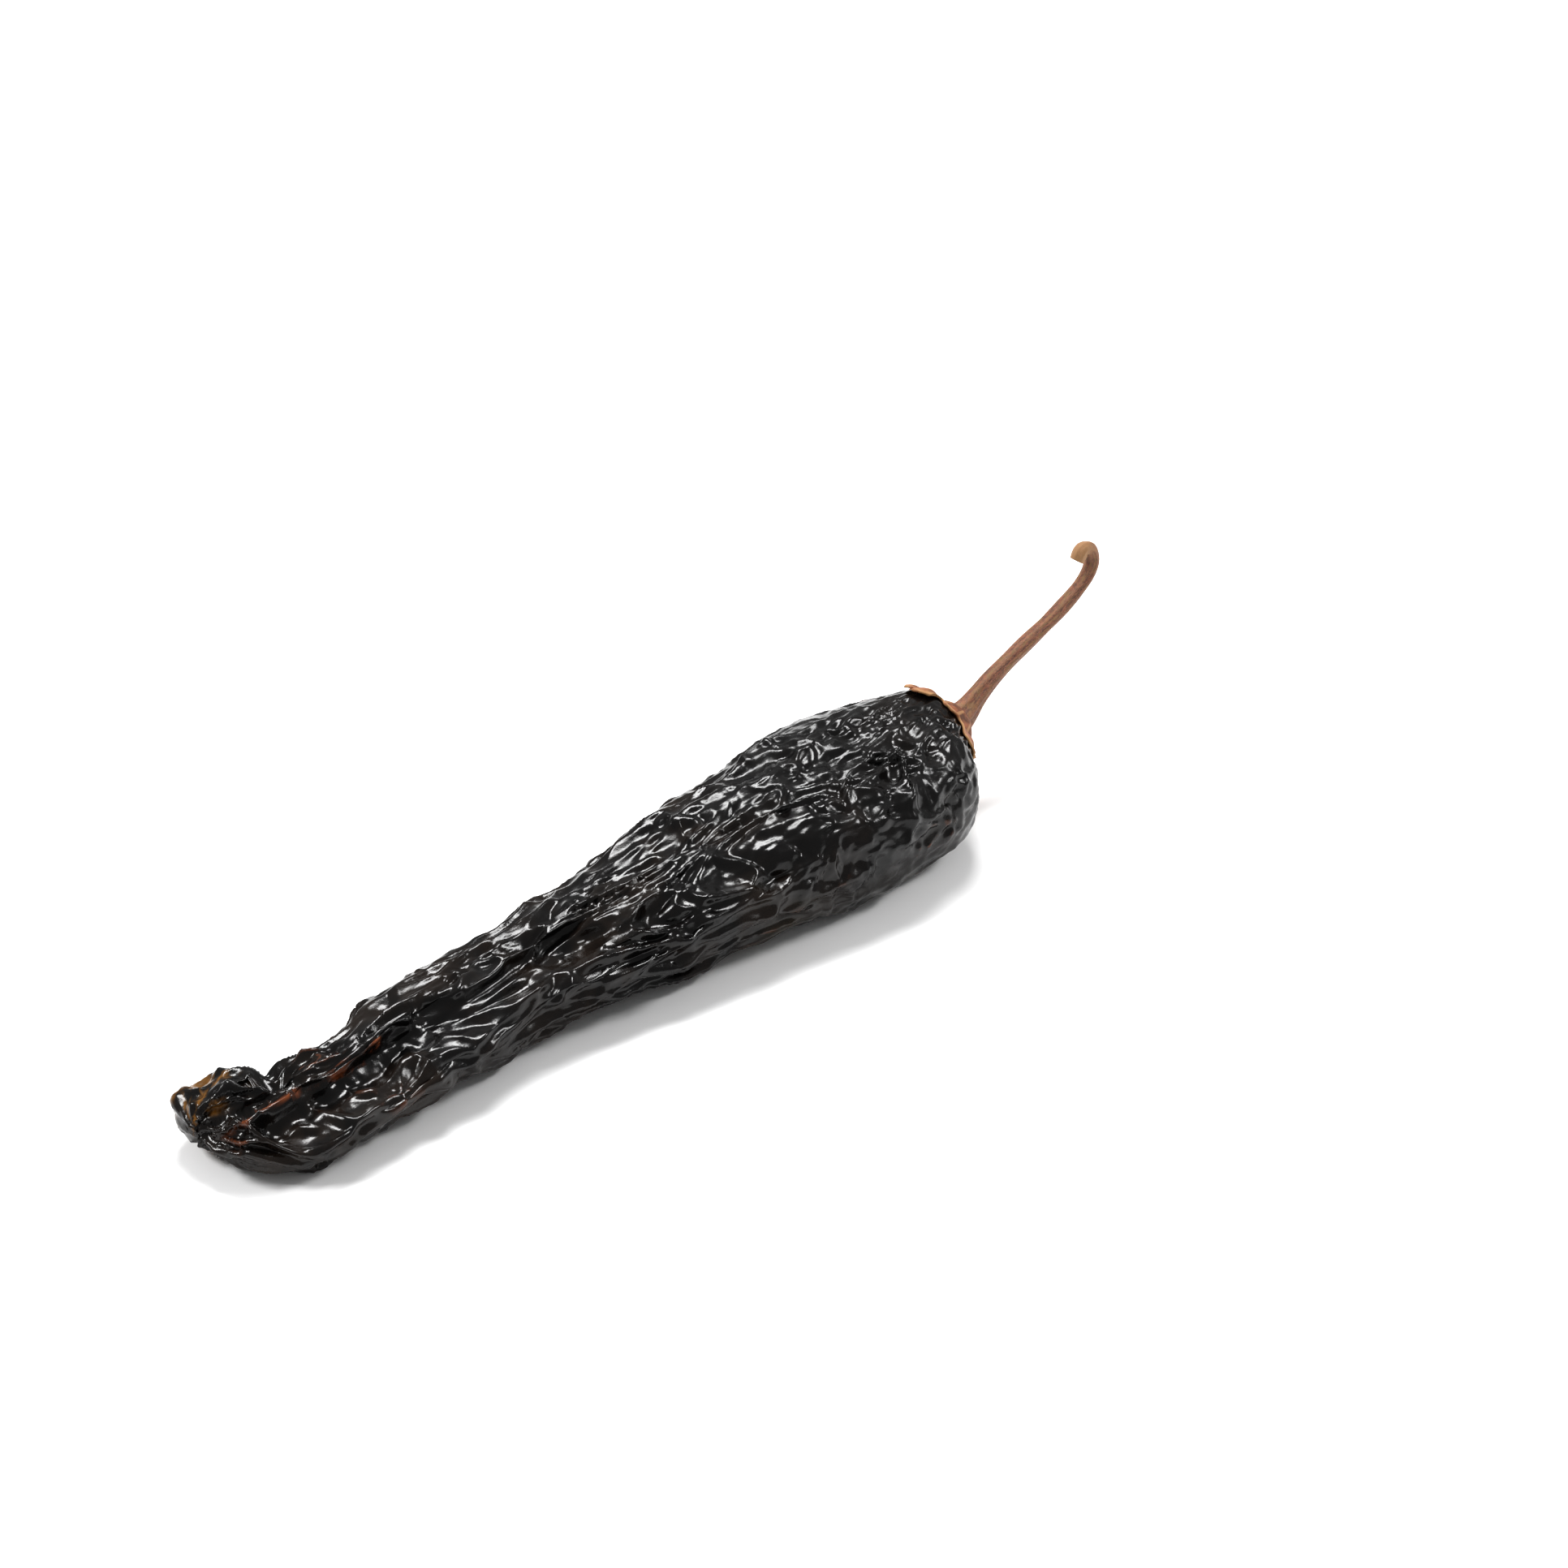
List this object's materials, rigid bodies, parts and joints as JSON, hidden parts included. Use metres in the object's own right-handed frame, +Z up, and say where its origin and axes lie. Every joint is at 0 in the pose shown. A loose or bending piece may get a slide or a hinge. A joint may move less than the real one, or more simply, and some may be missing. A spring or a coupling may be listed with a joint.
{
  "type": "dried chilli pepper",
  "caption": "Long dried black chilli pepper lying on its side: a shrivelled hollow pod with a two-lobed folded tip, a ragged dry calyx and a hooked woody stem.",
  "frame": {"origin": "bottom centre of the whole pepper's bounding box, on the surface it lies on", "axes": "+X along the pod from its tip to its stem, +Z up from the surface it lies on, +Y across the pod, to the left when looking from tip to stem"},
  "size_m": [0.2024, 0.0378, 0.0395],
  "materials": {
    "pod_skin": "glossy dry skin, near black with olive, amber and copper-brown edges",
    "calyx_sepals": "matt, dry and papery, orange-brown",
    "stem_wood": "satin, dry, red-brown with lengthwise ridges"
  },
  "bodies": {
    "root": {"pod": "pod_skin", "calyx": "calyx_sepals", "stem": "stem_wood"}
  },
  "joints": []
}
